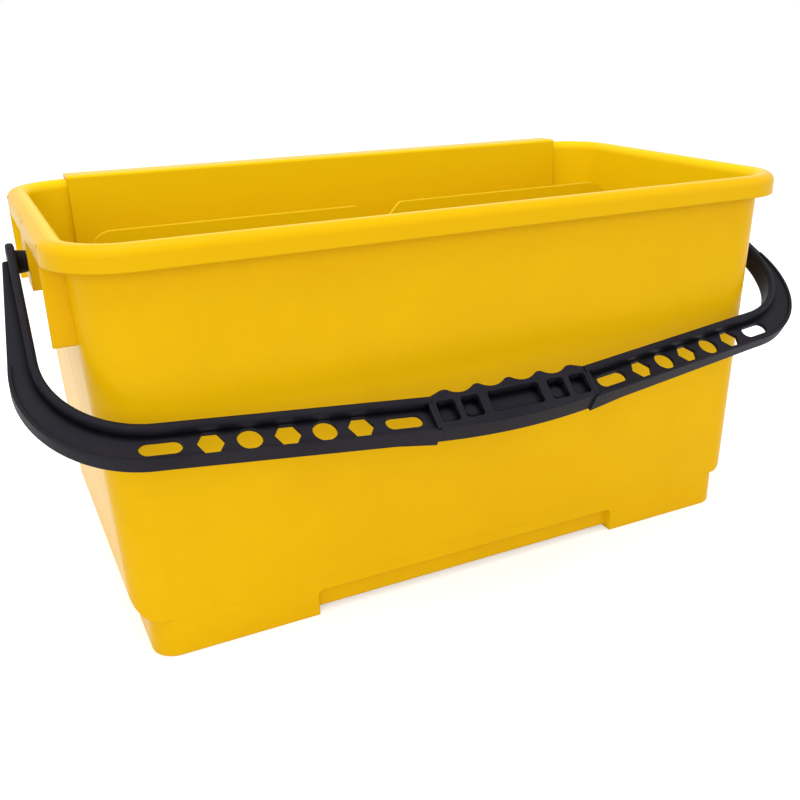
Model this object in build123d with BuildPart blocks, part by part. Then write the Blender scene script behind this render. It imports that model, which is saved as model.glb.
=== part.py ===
"""Window cleaning bucket: a tapered tub with corner feet, a hook-on tool tray and a three-piece bail handle.

X runs along the bucket, Y from front to back and Z up. The origin is on the floor, under the middle of
everything, with the handle hanging in front. Sizes are in millimetres.
"""

import os
from math import asin, atan, cos, hypot, radians, sin, tan

from build123d import *

# Tub
rim_length = 520.0
rim_width = 271.0
tub_height = 269.5
rim_corner_radius = 44.0
rim_skirt = 14.5
rim_overhang = 11.1
skirt_thickness = 2.6
rim_top_thickness = 3.5
rim_outer_round = 6.0
rim_inner_round = 6.0
wall_thickness = 3.0
wall_draft = 1.95
foot_corner_radius = 16.0
band_height = 28.0
band_inset = 0.15
foot_end_inset = 9.0
end_round = 18.0
end_overlap = 0.05
floor_thickness = 3.2
foot_floor_thickness = 3.2
base_clearance = 4.5
foot_length = 110.0
foot_width = 55.0
recess_depth = 5.0
recess_height = 19.0
recess_round = 4.0
foot_round = 1.6

# Ends of the tub, where the handle pivots
pivot_drop = 31.0
boss_drop = 47.5
fin_drop = 62.0
fin_thickness = 3.0
boss_width = 26.0
journal_diameter = 13.0
journal_length = 11.0
journal_clearance = 0.08
bore_end_clearance = 0.5

# Tool tray
tray_length = 432.0
tray_wall = 2.8
tray_gap = 0.5
tray_seat_gap = 0.3
hook_gap = 0.5
hook_drop = 19.0
tray_depth = 80.0
tray_floor_height = 160.0
tray_front_drop = 24.5
tray_corner_radius = 15.0
tray_fold_round = 2.4
tray_end_height = 46.0
notch_top_width = 36.0
notch_width = 13.2
notch_neck = 12.0
notch_depth = 46.0
notch_shoulder_round = 6.0
notch_neck_round = 10.0
notch_bottom_round = 6.0
drain_length = 30.0
drain_width = 7.0
drain_columns = 10
drain_rows = 3
drain_pitch_x = 40.0
drain_pitch_y = 20.0

# Handle
bail_clearance = 32.0
bar_stand_off = 33.0
bar_slope = 6.7
bar_inner_across = 12.9
bar_outer_across = 10.0
arm_gap = 6.0
arm_root_width = 8.0
arm_inner_splay = 1.65
arm_outer_splay = 6.55
inner_bend_radius = 57.0
outer_bend_radius = 72.0
flange_width = 5.0
flange_rise = 12.0
web_rise = 5.0
web_thickness = 3.0
web_start = 4.0
web_round = 1.8
lip_width = 2.2
lip_step = 0.8
lip_back = 3.0
lip_margin = 7.0
skirt_back = 6.0
skirt_end_back = 9.0
skirt_end_length = 27.0
end_rib = 2.5
eye_thickness = 5.0
stud_diameter = 15.0
stud_tip_diameter = 13.4
stud_tip_gap = 0.3
flange_round = 2.2
eye_round = 1.8

# Holes along each arm
slot_length = 24.0
slot_width = 10.0
hex_radius = 8.2
hole_diameter = 15.0
slot_margin = 20.0
bend_margin = 8.4
slot_spacing = 27.0

# Grip
grip_length = 114.0
grip_rise = 22.5
grip_drop = 6.0
grip_step = 1.5
grip_bulge = 3.6
grip_back = 7.8
finger_pitch = 23.2
finger_depth = 3.6
peak_width = 3.7
peak_flat = 0.4
grip_round = 1.2
pocket_depth = 8.5
pocket_floor = 3.0
pocket_round = 2.5
center_pocket_width = 38.0
center_pocket_rib = 6.0
pocket_width = 13.2
pocket_rib = 3.8
pocket_inner_margin = 7.4
pocket_outer_margin = 2.2
tongue_length = 33.0
tongue_width = 11.0
tongue_thickness = 3.0
tongue_clearance = 0.2
rivet_diameter = 5.0
rivet_clearance = 0.1
rivet_head_diameter = 8.0
rivet_head_height = 0.9

# Heights and places worked out from the sizes above
draft = tan(radians(wall_draft))
pivot_z = tub_height - pivot_drop
boss_bottom = tub_height - boss_drop
fin_bottom = tub_height - fin_drop
rim_inside = tub_height - rim_top_thickness
rim_bottom = tub_height - rim_skirt
boss_face = rim_length / 2
floor_top = base_clearance + floor_thickness

# The bail clears the rim when it swings over, and hangs with its bar in front of the rim
bail_inner = hypot(rim_width / 2, pivot_drop) + bail_clearance
bar_center = bail_inner + grip_rise
bail_angle = asin((rim_width / 2 + bar_stand_off) / bar_center)
bar_tilt = radians(bar_slope)
grip_half = grip_length / 2


def bar_line(x, across):
    """Distance from the pivot axis, at x, of a line along the bar beside its row of holes."""
    return bar_center + across / cos(bar_tilt) - tan(bar_tilt) * x


grip_end_inner = bar_line(grip_half, -bar_inner_across)
grip_end_outer = bar_line(grip_half, bar_outer_across) - grip_step
grip_outer = grip_end_outer + grip_bulge
grip_slant = atan(grip_drop / (grip_outer - bail_inner))


def grip_top(distance):
    """Height of the grip's slanted top over the bail's plane, at a distance from the pivot axis."""
    return flange_rise - tan(grip_slant) * (distance - bail_inner)


# The tub stands back from the middle of the whole, because the handle hangs in front of it
round_distance = grip_outer - grip_round
round_height = grip_top(round_distance) - grip_round / cos(grip_slant)
front_reach = round_distance * sin(bail_angle) + round_height * cos(bail_angle) + grip_round
back_reach = rim_width / 2 + hook_gap + tray_wall
tub_y = (front_reach - back_reach) / 2


def level(height):
    """Horizontal plane over the middle of the tub."""
    return Plane(origin=(0, tub_y, height))


def wall_length(height):
    """Outer length of the drafted wall at a height."""
    return rim_length - 2 * rim_overhang - 2 * draft * (tub_height - height)


def wall_width(height):
    """Outer width of the drafted wall at a height."""
    return rim_width - 2 * rim_overhang - 2 * draft * (tub_height - height)


def wall_radius(height):
    """Outer corner radius of the wall, growing from the feet to the rim."""
    top_radius = rim_corner_radius - rim_overhang
    return foot_corner_radius + (top_radius - foot_corner_radius) * height / tub_height


def wall_outline(height, inset):
    """Rounded outline of the wall at a height, drawn in by an inset."""
    RectangleRounded(
        wall_length(height) - 2 * inset,
        wall_width(height) - 2 * inset,
        wall_radius(height) - inset,
    )


def end_corners(bottom, inset):
    """Outlines, from the front, of what is cut away to round the lower edges of the ends above a height."""
    radius = end_round - inset
    half = wall_length(bottom) / 2 - inset + end_overlap
    center_x = half - radius * (1 - sin(radians(wall_draft))) / cos(radians(wall_draft))
    clear_x = half + radius
    clear_z = bottom - radius
    with BuildSketch(Plane.XZ) as corners:
        for side in (-1, 1):
            with BuildLine():
                arc = CenterArc((side * center_x, bottom + radius), radius, -90, side * (90 - wall_draft))
                Polyline(
                    arc @ 1,
                    (side * clear_x, bottom + radius),
                    (side * clear_x, clear_z),
                    (side * center_x, clear_z),
                    arc @ 0,
                )
            make_face()
    return corners.sketch


band_length = wall_length(band_height) - 2 * foot_end_inset
band_width = wall_width(band_height) - 2 * band_inset
band_top = band_height + end_round / 2
foot_x = band_length / 2 - foot_length
foot_y = band_width / 2 - foot_width
ledge = recess_depth + wall_thickness
cavity_bottom = band_height + wall_thickness

with BuildPart() as cavity:
    # Drafted inside with rounded lower edges at its ends
    with BuildSketch(level(cavity_bottom)):
        wall_outline(cavity_bottom, wall_thickness)
    with BuildSketch(level(tub_height)):
        wall_outline(tub_height, wall_thickness)
    loft()
    extrude(end_corners(cavity_bottom, wall_thickness), amount=rim_width, both=True, mode=Mode.SUBTRACT)
    # Narrower floor well and a pocket in each foot
    with BuildSketch(level(floor_top)):
        RectangleRounded(band_length - 2 * ledge, band_width - 2 * ledge, foot_corner_radius - recess_depth)
    extrude(amount=band_top - floor_top)
    with BuildSketch(level(foot_floor_thickness)):
        with GridLocations(band_length - foot_length, band_width - foot_width, 2, 2):
            RectangleRounded(
                foot_length - 2 * wall_thickness,
                foot_width - 2 * wall_thickness,
                foot_corner_radius - wall_thickness,
            )
    extrude(amount=band_top - foot_floor_thickness)

with BuildPart() as tub:
    # Drafted body with rounded lower edges at its ends
    with BuildSketch(level(band_height)):
        wall_outline(band_height, 0)
    with BuildSketch(level(tub_height)):
        wall_outline(tub_height, 0)
    loft()
    extrude(end_corners(band_height, 0), amount=rim_width, both=True, mode=Mode.SUBTRACT)
    # Foot band, set in a little from the long walls and further from the ends
    with BuildSketch(level(0)):
        RectangleRounded(band_length, band_width, foot_corner_radius)
    extrude(amount=band_top)
    # Rim with its rounded top, hollow from below
    with BuildSketch(level(rim_bottom)):
        RectangleRounded(rim_length, rim_width, rim_corner_radius)
    extrude(amount=rim_skirt)
    fillet(tub.faces().sort_by(Axis.Z)[-1].edges(), rim_outer_round)
    with BuildSketch(level(rim_bottom)):
        RectangleRounded(
            rim_length - 2 * skirt_thickness,
            rim_width - 2 * skirt_thickness,
            rim_corner_radius - skirt_thickness,
        )
        RectangleRounded(
            wall_length(tub_height),
            wall_width(tub_height),
            wall_radius(tub_height),
            mode=Mode.SUBTRACT,
        )
    extrude(amount=rim_inside - rim_bottom, mode=Mode.SUBTRACT)
    # Fins where the rim's corners end, and a boss for the pivot, under each end of the rim
    end_x = boss_face - rim_overhang
    with BuildSketch(level(fin_bottom)):
        with GridLocations(2 * end_x, rim_width - 2 * rim_corner_radius, 2, 2):
            Rectangle(2 * rim_overhang, fin_thickness)
    extrude(amount=rim_inside - fin_bottom)
    with BuildSketch(level(boss_bottom)):
        with GridLocations(2 * end_x, 0, 2, 1):
            Rectangle(2 * rim_overhang, boss_width)
    extrude(amount=rim_inside - boss_bottom)
    # Base raised between the feet, and recesses between them all round
    with BuildSketch(level(0)):
        Rectangle(2 * foot_x, band_width + ledge)
        Rectangle(band_length + ledge, 2 * foot_y)
    extrude(amount=base_clearance, mode=Mode.SUBTRACT)
    with BuildSketch(level(0)):
        Rectangle(2 * foot_x, band_width + ledge)
        Rectangle(band_length + ledge, 2 * foot_y)
        RectangleRounded(
            band_length - 2 * recess_depth,
            band_width - 2 * recess_depth,
            foot_corner_radius - recess_depth,
            mode=Mode.SUBTRACT,
        )
    extrude(amount=recess_height, mode=Mode.SUBTRACT)
    recess_tops = tub.edges(Select.LAST).filter_by(Axis.Y).group_by(Axis.Z)[-1]
    fillet(recess_tops.sort_by(SortBy.LENGTH)[:4], recess_round)
    fillet(tub.faces().group_by(Axis.Z)[0].edges(), foot_round)
    # Hollow inside
    add(cavity.part, mode=Mode.SUBTRACT)
    fillet(tub.faces().sort_by(Axis.Z)[-1].inner_wires().edges(), rim_inner_round)
    # Blind bores for the pivot studs
    bore_depth = journal_length + bore_end_clearance
    bore_radius = journal_diameter / 2 + journal_clearance
    for side in (-1, 1):
        with BuildSketch(Plane(origin=(side * boss_face, tub_y, pivot_z), x_dir=(0, 1, 0), z_dir=(side, 0, 0))):
            Circle(bore_radius)
        extrude(amount=-bore_depth, mode=Mode.SUBTRACT)
tub.part.label = "tub"


def panel_back(height):
    """Back face of the tray's panel, along the inside of the back wall."""
    return tub_y + wall_width(height) / 2 - wall_thickness - tray_gap


tray_floor_top = tray_floor_height + tray_wall
tray_front = panel_back(tray_floor_height) - tray_depth
tray_top = tub_height + tray_seat_gap + tray_wall
tray_front_top = tub_height - tray_front_drop
hook_inner = tub_y + rim_width / 2 + hook_gap
hook_bottom = tub_height - hook_drop

with BuildPart() as tool_tray:
    # Hook, back panel and floor as one folded section
    with BuildSketch(Plane.YZ) as section:
        with BuildLine():
            Polyline(
                (hook_inner + tray_wall, hook_bottom),
                (hook_inner + tray_wall, tray_top),
                (panel_back(tray_top) - tray_wall, tray_top),
                (panel_back(tray_floor_top) - tray_wall, tray_floor_top),
                (tray_front, tray_floor_top),
                (tray_front, tray_floor_height),
                (panel_back(tray_floor_height), tray_floor_height),
                (panel_back(tray_top - tray_wall), tray_top - tray_wall),
                (hook_inner, tray_top - tray_wall),
                (hook_inner, hook_bottom),
                close=True,
            )
        make_face()
        fillet(section.vertices().group_by(Axis.Y)[-1], tray_fold_round)
    extrude(amount=tray_length / 2, both=True)
    # Front wall with rounded corners and a notch for a tool's handle
    with BuildSketch(Plane.XZ.offset(-tray_front)) as front:
        with BuildLine():
            Polyline(
                (-tray_length / 2, tray_floor_height),
                (-tray_length / 2, tray_front_top),
                (-notch_top_width / 2, tray_front_top),
                (-notch_width / 2, tray_front_top - notch_neck),
                (-notch_width / 2, tray_front_top - notch_depth),
                (notch_width / 2, tray_front_top - notch_depth),
                (notch_width / 2, tray_front_top - notch_neck),
                (notch_top_width / 2, tray_front_top),
                (tray_length / 2, tray_front_top),
                (tray_length / 2, tray_floor_height),
                close=True,
            )
        make_face()
        fillet(front.vertices().group_by(Axis.Y)[1], notch_bottom_round)
        fillet(front.vertices().group_by(Axis.Y)[-2], notch_neck_round)
        fillet(front.vertices().group_by(Axis.Y)[-1].sort_by(Axis.X)[1:3], notch_shoulder_round)
        ends = front.vertices().group_by(Axis.Y)[-1].sort_by(Axis.X)
        fillet([ends[0], ends[-1]], tray_corner_radius)
    extrude(amount=-tray_wall)
    # Low walls across both ends of the floor
    for side in (-1, 1):
        with BuildSketch(Plane.YZ.offset(side * (tray_length / 2 - tray_wall / 2))):
            with BuildLine():
                Polyline(
                    (tray_front, tray_floor_height),
                    (panel_back(tray_floor_height) - tray_wall / 2, tray_floor_height),
                    (panel_back(tray_floor_height) - tray_wall / 2, tray_floor_height + tray_end_height),
                    (tray_front, tray_floor_height + tray_end_height),
                    close=True,
                )
            make_face()
        extrude(amount=tray_wall / 2, both=True)
    # Drain slots through the floor
    drain_y = (tray_front + panel_back(tray_floor_top)) / 2
    with BuildSketch(Plane(origin=(0, drain_y, tray_floor_height))):
        with GridLocations(drain_pitch_x, drain_pitch_y, drain_columns, drain_rows):
            SlotOverall(drain_length, drain_width)
    extrude(amount=tray_wall, mode=Mode.SUBTRACT)
tool_tray.part.label = "tool_tray"

# The bail lies in a plane through the pivot axis. In it, distance from the axis is the negative of local Y.
bail = Plane(origin=(0, tub_y, pivot_z), x_dir=(1, 0, 0), z_dir=(0, -cos(bail_angle), sin(bail_angle)))
bail_normal = Axis((0, tub_y, pivot_z), (0, -cos(bail_angle), sin(bail_angle)))
inner_splay = radians(arm_inner_splay)
outer_splay = radians(arm_outer_splay)
arm_inner = boss_face + arm_gap
arm_outer = arm_inner + arm_root_width


def bend(start_x, across, root, splay, radius, top):
    """Line along the bar from the grip, round the bend and up the arm to the pivot end."""
    corner = bar_line(root, across) / (1 + tan(bar_tilt) * tan(splay))
    return FilletPolyline(
        (start_x, -bar_line(start_x, across)),
        (root + tan(splay) * corner, -corner),
        (root + tan(splay) * top, -top),
        radius=radius,
    )


def inner_bend(inset, start_x, top):
    """Line at an inset from the arm's inner edge."""
    root = arm_inner + inset / cos(inner_splay)
    return bend(start_x, inset - bar_inner_across, root, inner_splay, inner_bend_radius + inset, top)


def outer_bend(inset, start_x, top):
    """Line at an inset from the arm's outer edge."""
    root = arm_outer - inset / cos(outer_splay)
    return bend(start_x, bar_outer_across - inset, root, outer_splay, outer_bend_radius - inset, top)


def close_ends(first, second):
    """Lines that join the ends of two lines into an outline."""
    Line(first @ 0, second @ 0)
    Line(first @ 1, second @ 1)


def axle(x):
    """Plane across the pivot axis at a distance from the middle."""
    return Plane(origin=(x, tub_y, pivot_z), x_dir=(0, 1, 0), z_dir=(1, 0, 0))


def side_view(x):
    """Plane across the pivot axis, with local X away from the axis and local Y behind the bail's plane."""
    return Plane(origin=(x, tub_y, pivot_z), x_dir=-bail.y_dir, z_dir=(1, 0, 0))


# The holes are spread along the straight of the bar, between the grip and the bend
bar_end = arm_inner - inner_bend_radius + tan(inner_splay) * bar_center
first_slot = grip_half + slot_margin
last_slot = bar_end + bend_margin - slot_width / 2
hex_pitch = (last_slot - first_slot - 2 * slot_spacing) / 4
hole_row = [first_slot + slot_spacing + step * hex_pitch for step in range(5)]


def on_row(x):
    """Place on the row of holes, turned along the bar."""
    return Location((x, -bar_line(x, 0), 0), (0, 0, bar_slope))


pocket_start = bail_inner + pocket_inner_margin
pocket_length = grip_end_outer - pocket_outer_margin - pocket_start
tongue_s = pocket_start + pocket_length / 2
rivet_x = center_pocket_width / 2 + center_pocket_rib + pocket_width / 2
pocket_x = rivet_x + pocket_width + pocket_rib
pocket_bottom = flange_rise - pocket_depth
tongue_top = pocket_bottom - pocket_floor - tongue_clearance
tongue_bottom = tongue_top - tongue_thickness

web_bottom = web_rise - web_thickness
lip_end = bar_line(arm_outer, bar_outer_across) - outer_bend_radius - lip_margin
along_bar = bail.x_dir * cos(bar_tilt) + bail.y_dir * sin(bar_tilt)
across_bar = bail.y_dir * cos(bar_tilt) - bail.x_dir * sin(bar_tilt)
bar_corner = bail.from_local_coords((grip_half, -bar_line(grip_half, bar_outer_across), 0))
bar_face = Plane(origin=bar_corner, x_dir=along_bar, z_dir=across_bar)
skirt_start = lip_width * tan(bar_tilt)
skirt_length = (bar_end - grip_half) / cos(bar_tilt)
rib_inner = bar_line(grip_half, flange_width / 2 - bar_inner_across)
rib_outer = bar_line(grip_half + end_rib, bar_outer_across - lip_width / 2)

with BuildPart() as eye:
    # Round plate about the pivot
    with BuildSketch(axle(arm_inner)):
        Circle(flange_rise)
    extrude(amount=eye_thickness)
    fillet(eye.edges().filter_by(GeomType.CIRCLE), eye_round)

with BuildPart() as bend_back:
    # Back of the flange, getting deeper round the bend
    with BuildSketch(bail.offset(-lip_back)):
        with BuildLine():
            close_ends(inner_bend(0, bar_end, 0), inner_bend(flange_width, bar_end, 0))
        make_face()
    extrude(amount=lip_back + web_bottom)
    with BuildSketch(Plane(origin=bail.origin, x_dir=bail.x_dir, z_dir=-bail.y_dir)):
        with BuildLine():
            Polyline(
                (0, web_bottom),
                (last_slot + slot_length / 2, web_bottom),
                (arm_inner, -lip_back),
                (0, -lip_back),
                close=True,
            )
        make_face()
    extrude(amount=grip_outer, mode=Mode.SUBTRACT)

with BuildPart() as arm_right:
    # Flange along the inner edge
    with BuildSketch(bail.offset(web_bottom)):
        with BuildLine():
            close_ends(inner_bend(0, grip_half, 0), inner_bend(flange_width, grip_half, 0))
        make_face()
    extrude(amount=flange_rise - web_bottom)
    fillet(arm_right.faces().sort_by(bail_normal)[-1].edges().sort_by(SortBy.LENGTH)[2:], flange_round)
    add(bend_back.part)
    # Web from the flange to the outer edge, a wall behind that edge and a lip along its bar
    with BuildSketch(bail.offset(web_bottom)) as web:
        with BuildLine():
            close_ends(inner_bend(flange_width / 2, grip_half, web_start), outer_bend(0, grip_half, web_start))
        make_face()
        fillet(web.vertices().group_by(Axis.Y)[-1].sort_by(Axis.X)[-1], web_round)
    extrude(amount=web_thickness)
    with BuildSketch(bail.offset(-lip_back)) as wall:
        with BuildLine():
            close_ends(outer_bend(lip_width, grip_half, web_start), outer_bend(0, grip_half, web_start))
        make_face()
        fillet(wall.vertices().group_by(Axis.Y)[-1].sort_by(Axis.X)[-1], web_round)
    extrude(amount=lip_back + web_rise)
    with BuildSketch(bail.offset(web_rise)):
        with BuildLine():
            close_ends(outer_bend(lip_width, grip_half, lip_end), outer_bend(0, grip_half, lip_end))
        make_face()
    extrude(amount=lip_step)
    # The wall gets deeper along the bar, most of all beside the grip
    with BuildSketch(bar_face):
        with BuildLine():
            Polyline(
                (skirt_start, 0),
                (skirt_start, skirt_end_back),
                (skirt_end_length, skirt_back),
                (skirt_length, lip_back),
                (skirt_length, 0),
                close=True,
            )
        make_face()
    extrude(amount=lip_width)
    # Rib across the end beside the grip, and the tongue that runs under the grip
    with BuildSketch(side_view(grip_half)):
        with BuildLine():
            Polyline(
                (rib_inner, lip_back),
                (rib_inner, -grip_top(rib_inner)),
                (rib_outer, -grip_top(rib_outer)),
                (rib_outer, lip_back),
                close=True,
            )
        make_face()
    extrude(amount=end_rib)
    with BuildSketch(bail.offset(tongue_bottom)):
        with Locations((grip_half - tongue_length / 2 + end_rib / 2, -tongue_s)):
            Rectangle(tongue_length + end_rib, tongue_width)
    extrude(amount=tongue_thickness)
    # Row of lightening holes
    with BuildSketch(bail.offset(web_bottom)):
        with Locations(on_row(first_slot), on_row(last_slot)):
            SlotOverall(slot_length, slot_width)
        with Locations(*[on_row(x) for x in hole_row[0::2]]):
            RegularPolygon(hex_radius, 6)
        with Locations(*[on_row(x) for x in hole_row[1::2]]):
            Circle(hole_diameter / 2)
    extrude(amount=web_thickness, mode=Mode.SUBTRACT)
    with BuildSketch(bail.offset(tongue_bottom)):
        with Locations((rivet_x, -tongue_s)):
            Circle(rivet_diameter / 2 + rivet_clearance)
    extrude(amount=tongue_thickness, mode=Mode.SUBTRACT)
    # Plate about the pivot, and the stud that turns in the tub's boss
    add(eye.part)
    with BuildSketch(axle(arm_inner)):
        Circle(stud_diameter / 2)
    with BuildSketch(axle(boss_face + stud_tip_gap)):
        Circle(stud_tip_diameter / 2)
    loft()
    with BuildSketch(axle(boss_face + stud_tip_gap)):
        Circle(journal_diameter / 2)
    extrude(amount=-journal_length - stud_tip_gap)
arm_right.part.label = "handle_arm_right"

with BuildPart() as arm_left:
    mirror(arm_right.part, about=Plane.YZ)
arm_left.part.label = "handle_arm_left"

# Each finger valley is an arc between two peaks, and each peak is rounded to a narrow flat
valley_half = (finger_pitch - peak_width) / 2
finger_radius = (valley_half**2 + finger_depth**2) / (2 * finger_depth)
peak_round = (peak_width - peak_flat) / 2 / tan(asin(valley_half / finger_radius) / 2)
peaks_end = 2 * finger_pitch + peak_width / 2
bar_edge = grip_outer + grip_bulge
finger_line = bail_inner + finger_depth - finger_radius
finger_places = [(step * finger_pitch, -finger_line) for step in (-1.5, -0.5, 0.5, 1.5)]

with BuildPart() as handle_grip:
    # Block with finger valleys along its inner edge
    with BuildSketch(bail.offset(-grip_back)) as block:
        with BuildLine():
            Polyline(
                (-grip_half, -grip_end_inner),
                (-peaks_end, -bail_inner),
                (peaks_end, -bail_inner),
                (grip_half, -grip_end_inner),
                (grip_half, -grip_end_outer),
            )
            Line((-grip_half, -grip_end_inner), (-grip_half, -grip_end_outer))
            ThreePointArc((-grip_half, -grip_end_outer), (0, -grip_outer), (grip_half, -grip_end_outer))
        make_face()
        with Locations(*finger_places):
            Circle(finger_radius, mode=Mode.SUBTRACT)
        fillet(block.vertices().group_by(Axis.Y)[-1].sort_by(Axis.X)[1:-1], peak_round)
    extrude(amount=grip_back + flange_rise + grip_drop)
    # Top slanted down to the outer edge
    with BuildSketch(side_view(-grip_half)):
        with BuildLine():
            Polyline(
                (0, -grip_top(0)),
                (bar_edge, -grip_top(0)),
                (bar_edge, -grip_top(bar_edge)),
                close=True,
            )
        make_face()
    extrude(amount=grip_length, mode=Mode.SUBTRACT)
    fillet(handle_grip.faces().sort_by(bail_normal)[-1].edges(), grip_round)
    # Pockets from above
    with BuildSketch(bail.offset(flange_rise)):
        with Locations((0, -tongue_s)):
            RectangleRounded(center_pocket_width, pocket_length, pocket_round)
        with Locations(*[(x, -tongue_s) for x in (-pocket_x, -rivet_x, rivet_x, pocket_x)]):
            RectangleRounded(pocket_width, pocket_length, pocket_round)
    extrude(amount=-pocket_depth, mode=Mode.SUBTRACT)
    # Channel below for the arms' tongues, and the rivet holes
    with BuildSketch(bail.offset(-grip_back)):
        with Locations((0, -tongue_s)):
            Rectangle(grip_length, tongue_width + 2 * tongue_clearance)
    extrude(amount=grip_back + pocket_bottom - pocket_floor, mode=Mode.SUBTRACT)
    with BuildSketch(bail.offset(pocket_bottom)):
        with Locations((rivet_x, -tongue_s), (-rivet_x, -tongue_s)):
            Circle(rivet_diameter / 2 + rivet_clearance)
    extrude(amount=-pocket_floor, mode=Mode.SUBTRACT)
handle_grip.part.label = "handle_grip"

with BuildPart() as grip_rivets:
    # Shank through the pocket floor and the tongue, with a head above and a head below
    with BuildSketch(bail.offset(tongue_bottom)):
        with Locations((rivet_x, -tongue_s), (-rivet_x, -tongue_s)):
            Circle(rivet_diameter / 2)
    extrude(amount=pocket_bottom - tongue_bottom)
    with BuildSketch(bail.offset(pocket_bottom)):
        with Locations((rivet_x, -tongue_s), (-rivet_x, -tongue_s)):
            Circle(rivet_head_diameter / 2)
    extrude(amount=rivet_head_height)
    with BuildSketch(bail.offset(tongue_bottom)):
        with Locations((rivet_x, -tongue_s), (-rivet_x, -tongue_s)):
            Circle(rivet_head_diameter / 2)
    extrude(amount=-rivet_head_height)
grip_rivets.part.label = "grip_rivets"

os.makedirs("parts", exist_ok=True)
export_step(tub.part, "parts/tub.step")
export_step(tool_tray.part, "parts/tool_tray.step")
export_step(arm_right.part, "parts/handle_arm_right.step")
export_step(arm_left.part, "parts/handle_arm_left.step")
export_step(handle_grip.part, "parts/handle_grip.step")
export_step(grip_rivets.part, "parts/grip_rivets.step")
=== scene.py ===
"""Window cleaning bucket: finishes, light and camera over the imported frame. Lengths are in metres."""
from math import cos, radians, sin

import bpy
from mathutils import Matrix, Vector


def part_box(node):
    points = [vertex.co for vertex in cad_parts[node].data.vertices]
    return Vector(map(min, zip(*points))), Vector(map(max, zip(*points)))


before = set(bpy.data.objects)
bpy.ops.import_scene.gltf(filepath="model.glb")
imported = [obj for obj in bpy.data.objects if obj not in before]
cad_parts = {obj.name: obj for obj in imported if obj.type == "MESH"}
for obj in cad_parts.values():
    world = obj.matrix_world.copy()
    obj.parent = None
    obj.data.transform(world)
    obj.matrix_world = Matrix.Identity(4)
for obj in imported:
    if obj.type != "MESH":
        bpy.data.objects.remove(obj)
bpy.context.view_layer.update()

# Places on the tub
tub_low, tub_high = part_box("tub")
TUB_Y = (tub_low.y + tub_high.y) / 2
RIM_SKIRT = 0.0145
RIM_BOTTOM = tub_high.z - RIM_SKIRT
RIM_BLUR = 0.0005
INSIDE_BLUR = 0.03

# Yellow plastic of the tub and the tray
YELLOW = (0.815, 0.470, 0.002, 1.0)
YELLOW_DEEP = (0.770, 0.434, 0.002, 1.0)
# Tub rim darker than the wall: painted shade against the stronger light on the rim
TUB_RIM_SHADE = (0.74, 0.425, 0.002, 1.0)
# Inner faces paler and less orange: painted light against the shade and orange bounce light inside
TUB_INSIDE_LIT = (0.84, 0.565, 0.003, 1.0)
# Edges lighter: painted highlight
TUB_EDGE_HIGHLIGHT = (0.81, 0.475, 0.003, 1.0)
TUB_EDGE_ROUND = 0.0014
# Tray inner faces: painted light, as for the tub
TRAY_INSIDE_LIT = (0.79, 0.525, 0.003, 1.0)
# Tray edges lighter: painted highlight
TRAY_EDGE_HIGHLIGHT = (0.90, 0.61, 0.008, 1.0)
TRAY_EDGE_ROUND = 0.0009
YELLOW_ROUGHNESS = (0.26, 0.32)
YELLOW_IOR = 1.49
YELLOW_GLOSS = 0.05
DRIFT_NOISE = {"scale": 16.0, "detail": 8.0, "roughness": 0.72}
SHEEN_NOISE = {"scale": 5.0, "detail": 2.0}
WAVE_NOISE = {"scale": 1.0, "detail": 0.0}
WAVE_STRETCH = (9.0, 9.0, 4.0)
WAVE_BUMP = {"strength": 0.10, "depth": 0.004}
SKIN_NOISE = {"scale": 900.0, "detail": 2.0}
SKIN_BUMP = {"strength": 0.03, "depth": 0.0003}

# Black plastic of the handle
BLACK = (0.0130, 0.0120, 0.0172, 1.0)
# Lighter tone for worn patches, and the painted highlight on the outer edges
BLACK_WORN_AND_HIGHLIGHT = (0.030, 0.029, 0.036, 1.0)
# Near black: painted shade in corners and narrow pockets
BLACK_PAINTED_SHADE = (0.0008, 0.0008, 0.0010, 1.0)
HANDLE_EDGE_ROUND = 0.0009
RIVET_EDGE_ROUND = 0.0004
BLACK_ROUGHNESS = (0.36, 0.48)
BLACK_IOR = 1.5
BLACK_GLOSS = 0.04
PATCH_NOISE = {"scale": 22.0, "detail": 4.0}
PATCH_WEAR = (0.0, 0.35)
GRAIN_NOISE = {"scale": 1400.0, "detail": 3.0}
GRAIN_BUMP = {"strength": 0.12, "depth": 0.0002}
# Reach, spread and samples of the painted corner shade
SHADE_REACH = 0.005
SHADE_OPENNESS = (0.5, 1.0)
SHADE_SAMPLES = 8

# Both plastics: where noise mostly lies, and the cosine of the rounding from flat face to full edge
NOISE_RANGE = (0.3, 0.7)
EDGE_COSINE = (1.0, 0.75)
EDGE_SAMPLES = 6

# Studio
WHITE = (1.0, 1.0, 1.0, 1.0)
PAPER = (0.82, 0.82, 0.82, 1.0)
FLOOR_REACH = 30.0
FLOOR_GLOW = 0.46
SKY_SEEN = 1.0
SKY_LIGHT = 0.80
LAMPS = (
    {"name": "key", "place": (-0.9, -1.5, 0.75), "target": (0.0, 0.0, 0.15), "size": 0.8, "watts": 6.0},
    {"name": "top", "place": (-0.4, -0.2, 1.9), "target": (0.05, 0.05, 0.2), "size": 1.4, "watts": 20.0},
    {"name": "fill", "place": (1.6, -1.2, 0.65), "target": (0.1, 0.0, 0.15), "size": 0.9, "watts": 3.3},
)

# Camera, from the fit to the photograph
FRAME_PX = 800.0
FOCAL_PX = 932.93
CENTER_PX = (424.57, 404.49)
CAMERA_PLACE = Vector((-0.29703, TUB_Y - 0.62887, 0.37156))
CAMERA_TURN = radians(26.63)
CAMERA_TILT = radians(22.04)
CAMERA_ROLL = radians(-0.83)
CAMERA_SENSOR = 36.0
CAMERA_FAR = 100.0


# Nodes

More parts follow.
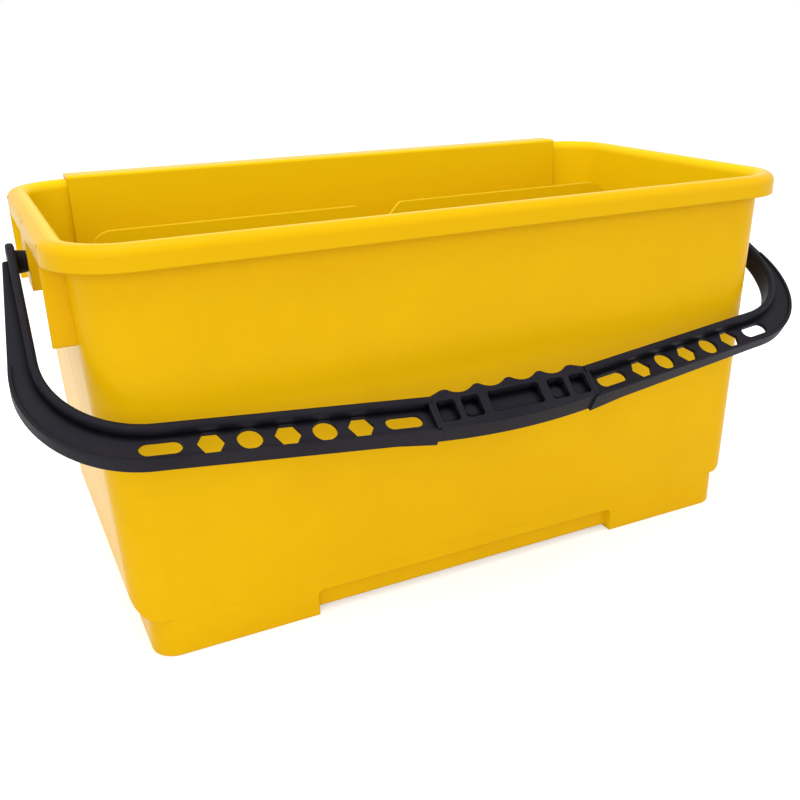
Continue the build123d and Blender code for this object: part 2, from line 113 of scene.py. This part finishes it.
def feed(tree, socket, value):
    """Sets a socket to a value, or links it where the value is another node's socket."""
    if isinstance(value, bpy.types.NodeSocket):
        tree.links.new(value, socket)
    else:
        socket.default_value = value


def fill_in(tree, node, **inputs):
    """Feeds a node's inputs by name, with an underscore for each space."""
    for name, value in inputs.items():
        feed(tree, node.inputs[name.replace("_", " ")], value)


def add(tree, kind, **inputs):
    """A new node with the named inputs fed."""
    node = tree.nodes.new(kind)
    fill_in(tree, node, **inputs)
    return node


def empty_tree(owner):
    """The node tree of a new material or world, with its nodes cleared away."""
    owner.use_nodes = True
    owner.node_tree.nodes.clear()
    return owner.node_tree


def mapped(tree, coords, location=(0.0, 0.0, 0.0), scale=(1.0, 1.0, 1.0)):
    """Coordinates scaled along each axis and then moved."""
    return add(tree, "ShaderNodeMapping", Vector=coords, Location=location, Scale=scale).outputs["Vector"]


def noise(tree, coords, scale, detail, roughness=0.5):
    """Fractal noise between 0 and 1, with about as many patches in a metre as its scale."""
    node = add(tree, "ShaderNodeTexNoise", Vector=coords, Scale=scale, Detail=detail, Roughness=roughness)
    return node.outputs["Fac"]


def spread(tree, value, source, target=(0.0, 1.0)):
    """A value that runs over the source range, stretched over the target range and held at its ends."""
    node = add(
        tree, "ShaderNodeMapRange", Value=value,
        From_Min=source[0], From_Max=source[1], To_Min=target[0], To_Max=target[1],
    )
    return node.outputs["Result"]


def dot_product(tree, first, second):
    """How far two vectors point the same way."""
    node = tree.nodes.new("ShaderNodeVectorMath")
    node.operation = "DOT_PRODUCT"
    feed(tree, node.inputs[0], first)
    feed(tree, node.inputs[1], second)
    return node.outputs["Value"]


def mix_color(tree, factor, first, second):
    """Colour between two colours by a factor."""
    node = tree.nodes.new("ShaderNodeMix")
    node.data_type = "RGBA"
    feed(tree, node.inputs["Factor"], factor)
    for name, value in (("A", first), ("B", second)):
        feed(tree, [i for i in node.inputs if i.name == name and i.type == "RGBA"][0], value)
    return [o for o in node.outputs if o.type == "RGBA"][0]


def bump(tree, height, normal, strength, depth):
    """Normal bent by a height on top of another normal."""
    node = add(tree, "ShaderNodeBump", Height=height, Strength=strength, Distance=depth, Normal=normal)
    return node.outputs["Normal"]


# Finishes

def new_material(name):
    """A material with an empty tree, a principled shader and object coordinates."""
    mat = bpy.data.materials.new(name)
    tree = empty_tree(mat)
    shader = tree.nodes.new("ShaderNodeBsdfPrincipled")
    add(tree, "ShaderNodeOutputMaterial", Surface=shader.outputs["BSDF"])
    coords = tree.nodes.new("ShaderNodeTexCoord").outputs["Object"]
    return mat, tree, shader, coords


def flat_normal(tree):
    """Normal of the face itself, before any rounding or bump."""
    return tree.nodes.new("ShaderNodeNewGeometry").outputs["Normal"]


def soft_edges(tree, radius):
    """Normal with the moulded edges rounded over, and how near an edge the point is."""
    bevel = add(tree, "ShaderNodeBevel", Radius=radius)
    bevel.samples = EDGE_SAMPLES
    rounded = bevel.outputs["Normal"]
    return rounded, spread(tree, dot_product(tree, rounded, flat_normal(tree)), EDGE_COSINE)


def unshaded(tree):
    """1 on flat faces and outer edges of a piece, and 0 deep in its corners and narrow pockets, where
    painted shade goes.
    """
    node = add(tree, "ShaderNodeAmbientOcclusion", Distance=SHADE_REACH)
    node.only_local = True
    node.samples = SHADE_SAMPLES
    return spread(tree, node.outputs["AO"], SHADE_OPENNESS)


def facing_in(tree, coords):
    """1 where a face looks towards the tub's upright middle line, and 0 where it looks away from it."""
    from_middle = mapped(tree, coords, (0.0, -TUB_Y, 0.0), (1.0, 1.0, 0.0))
    return spread(tree, dot_product(tree, from_middle, flat_normal(tree)), (INSIDE_BLUR, -INSIDE_BLUR))


def at_rim(tree, coords):
    """1 from the lower edge of the rim upwards, and 0 below it."""
    height = add(tree, "ShaderNodeSeparateXYZ", Vector=coords).outputs["Z"]
    return spread(tree, height, (RIM_BOTTOM - RIM_BLUR, RIM_BOTTOM))


def yellow_plastic(name, rim, inside_lit, edge_highlight, edge_round):
    """Glossy polypropylene: a mottled colour, walls that are not quite flat and a fine moulded skin, with
    a given rim colour (painted shade on the tub), painted light on the inner faces and painted highlights
    on the edges.
    """
    mat, tree, shader, coords = new_material(name)
    rounded, edge = soft_edges(tree, edge_round)
    drift = noise(tree, coords, **DRIFT_NOISE)
    sheen = noise(tree, coords, **SHEEN_NOISE)
    wave = noise(tree, mapped(tree, coords, scale=WAVE_STRETCH), **WAVE_NOISE)
    skin = noise(tree, coords, **SKIN_NOISE)
    color = mix_color(tree, spread(tree, drift, NOISE_RANGE), YELLOW, YELLOW_DEEP)
    # Painted shade on the rim (none on the tray)
    color = mix_color(tree, at_rim(tree, coords), color, rim)
    # Painted light on the inner faces
    color = mix_color(tree, facing_in(tree, coords), color, inside_lit)
    # Painted highlight along the edges
    color = mix_color(tree, edge, color, edge_highlight)
    wavy = bump(tree, wave, rounded, **WAVE_BUMP)
    fill_in(
        tree, shader, Base_Color=color, Roughness=spread(tree, sheen, NOISE_RANGE, YELLOW_ROUGHNESS),
        Normal=bump(tree, skin, wavy, **SKIN_BUMP), IOR=YELLOW_IOR, Specular_IOR_Level=YELLOW_GLOSS,
    )
    return mat


def black_plastic(name, edge_round):
    """Satin black moulding: fine grain, patches of sheen, painted highlights on the outer edges and
    painted shade in the inner corners.
    """
    mat, tree, shader, coords = new_material(name)
    rounded, edge = soft_edges(tree, edge_round)
    patches = noise(tree, coords, **PATCH_NOISE)
    grain = noise(tree, coords, **GRAIN_NOISE)
    color = mix_color(tree, spread(tree, patches, NOISE_RANGE, PATCH_WEAR), BLACK, BLACK_WORN_AND_HIGHLIGHT)
    # Painted highlight along the outer edges
    color = mix_color(tree, edge, color, BLACK_WORN_AND_HIGHLIGHT)
    # Painted shade in corners and narrow pockets
    color = mix_color(tree, unshaded(tree), BLACK_PAINTED_SHADE, color)
    fill_in(
        tree, shader, Base_Color=color, Roughness=spread(tree, patches, NOISE_RANGE, BLACK_ROUGHNESS),
        Normal=bump(tree, grain, rounded, **GRAIN_BUMP), IOR=BLACK_IOR, Specular_IOR_Level=BLACK_GLOSS,
    )
    return mat


handle_plastic = black_plastic("handle_plastic", HANDLE_EDGE_ROUND)
finishes = {
    "tub": yellow_plastic("tub_plastic", TUB_RIM_SHADE, TUB_INSIDE_LIT, TUB_EDGE_HIGHLIGHT, TUB_EDGE_ROUND),
    "tool_tray": yellow_plastic("tray_plastic", YELLOW, TRAY_INSIDE_LIT, TRAY_EDGE_HIGHLIGHT, TRAY_EDGE_ROUND),
    "handle_arm_left": handle_plastic,
    "handle_arm_right": handle_plastic,
    "handle_grip": handle_plastic,
    "grip_rivets": black_plastic("rivet_plastic", RIVET_EDGE_ROUND),
}
for node_name, finish in finishes.items():
    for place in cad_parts[node_name].material_slots:
        place.material = finish


# Studio

def seen_as(tree, seen, lighting):
    """A shader seen as the first, also in a gloss or through a clear part, that lights as the second."""
    path = tree.nodes.new("ShaderNodeLightPath")
    direct = path.outputs["Is Camera Ray"]
    for ray in ("Is Glossy Ray", "Is Transmission Ray"):
        either = tree.nodes.new("ShaderNodeMath")
        either.operation = "MAXIMUM"
        feed(tree, either.inputs[0], direct)
        feed(tree, either.inputs[1], path.outputs[ray])
        direct = either.outputs["Value"]
    pick = add(tree, "ShaderNodeMixShader", Fac=direct)
    feed(tree, pick.inputs[1], lighting)
    feed(tree, pick.inputs[2], seen)
    return pick.outputs["Shader"]


def stage_floor():
    """Wide pale floor that the camera sees as white, apart from the soft shadow."""
    mat = bpy.data.materials.new("floor_paper")
    tree = empty_tree(mat)
    paper = add(tree, "ShaderNodeBsdfDiffuse", Color=PAPER).outputs["BSDF"]
    glow = add(tree, "ShaderNodeEmission", Color=WHITE, Strength=FLOOR_GLOW).outputs["Emission"]
    bright = tree.nodes.new("ShaderNodeAddShader")
    feed(tree, bright.inputs[0], paper)
    feed(tree, bright.inputs[1], glow)
    add(tree, "ShaderNodeOutputMaterial", Surface=seen_as(tree, bright.outputs["Shader"], paper))
    corners = [(x * FLOOR_REACH, y * FLOOR_REACH, 0.0) for x, y in ((-1, -1), (1, -1), (1, 1), (-1, 1))]
    mesh = bpy.data.meshes.new("floor")
    mesh.from_pydata(corners, [], [(0, 1, 2, 3)])
    mesh.materials.append(mat)
    floor = bpy.data.objects.new("floor", mesh)
    bpy.context.scene.collection.objects.link(floor)


def studio_sky():
    """Even white light from all round, under a white background."""
    world = bpy.data.worlds.new("studio")
    tree = empty_tree(world)
    seen = add(tree, "ShaderNodeBackground", Color=WHITE, Strength=SKY_SEEN).outputs["Background"]
    light = add(tree, "ShaderNodeBackground", Color=WHITE, Strength=SKY_LIGHT).outputs["Background"]
    add(tree, "ShaderNodeOutputWorld", Surface=seen_as(tree, seen, light))
    bpy.context.scene.world = world


def area_lamp(name, place, target, size, watts):
    """Soft square lamp aimed at a point."""
    lamp = bpy.data.lights.new(name, "AREA")
    lamp.shape = "SQUARE"
    lamp.size = size
    lamp.energy = watts
    lamp_object = bpy.data.objects.new(name, lamp)
    lamp_object.location = place
    lamp_object.rotation_euler = (Vector(target) - Vector(place)).to_track_quat("-Z", "Y").to_euler()
    bpy.context.scene.collection.objects.link(lamp_object)


def aimed(turn, tilt, roll, place):
    """Camera matrix from its turn to the right, its tilt down, its roll and its place."""
    forward = Vector((sin(turn) * cos(tilt), cos(turn) * cos(tilt), -sin(tilt)))
    right = Vector((cos(turn), -sin(turn), 0.0))
    up = right.cross(forward)
    across = cos(roll) * right + sin(roll) * up
    above = cos(roll) * up - sin(roll) * right
    return Matrix.Translation(place) @ Matrix((across, above, -forward)).transposed().to_4x4()


def photo_camera():
    """Camera with the place, aim and picture centre of the photograph."""
    camera = bpy.data.cameras.new("camera")
    camera.sensor_width = CAMERA_SENSOR
    camera.lens = CAMERA_SENSOR * FOCAL_PX / FRAME_PX
    camera.shift_x = 0.5 - CENTER_PX[0] / FRAME_PX
    camera.shift_y = CENTER_PX[1] / FRAME_PX - 0.5
    camera.clip_end = CAMERA_FAR
    camera_object = bpy.data.objects.new("camera", camera)
    camera_object.matrix_world = aimed(CAMERA_TURN, CAMERA_TILT, CAMERA_ROLL, CAMERA_PLACE)
    bpy.context.scene.collection.objects.link(camera_object)
    bpy.context.scene.camera = camera_object


stage_floor()
studio_sky()
for lamp_values in LAMPS:
    area_lamp(**lamp_values)
photo_camera()
bpy.context.scene.view_settings.view_transform = "Standard"
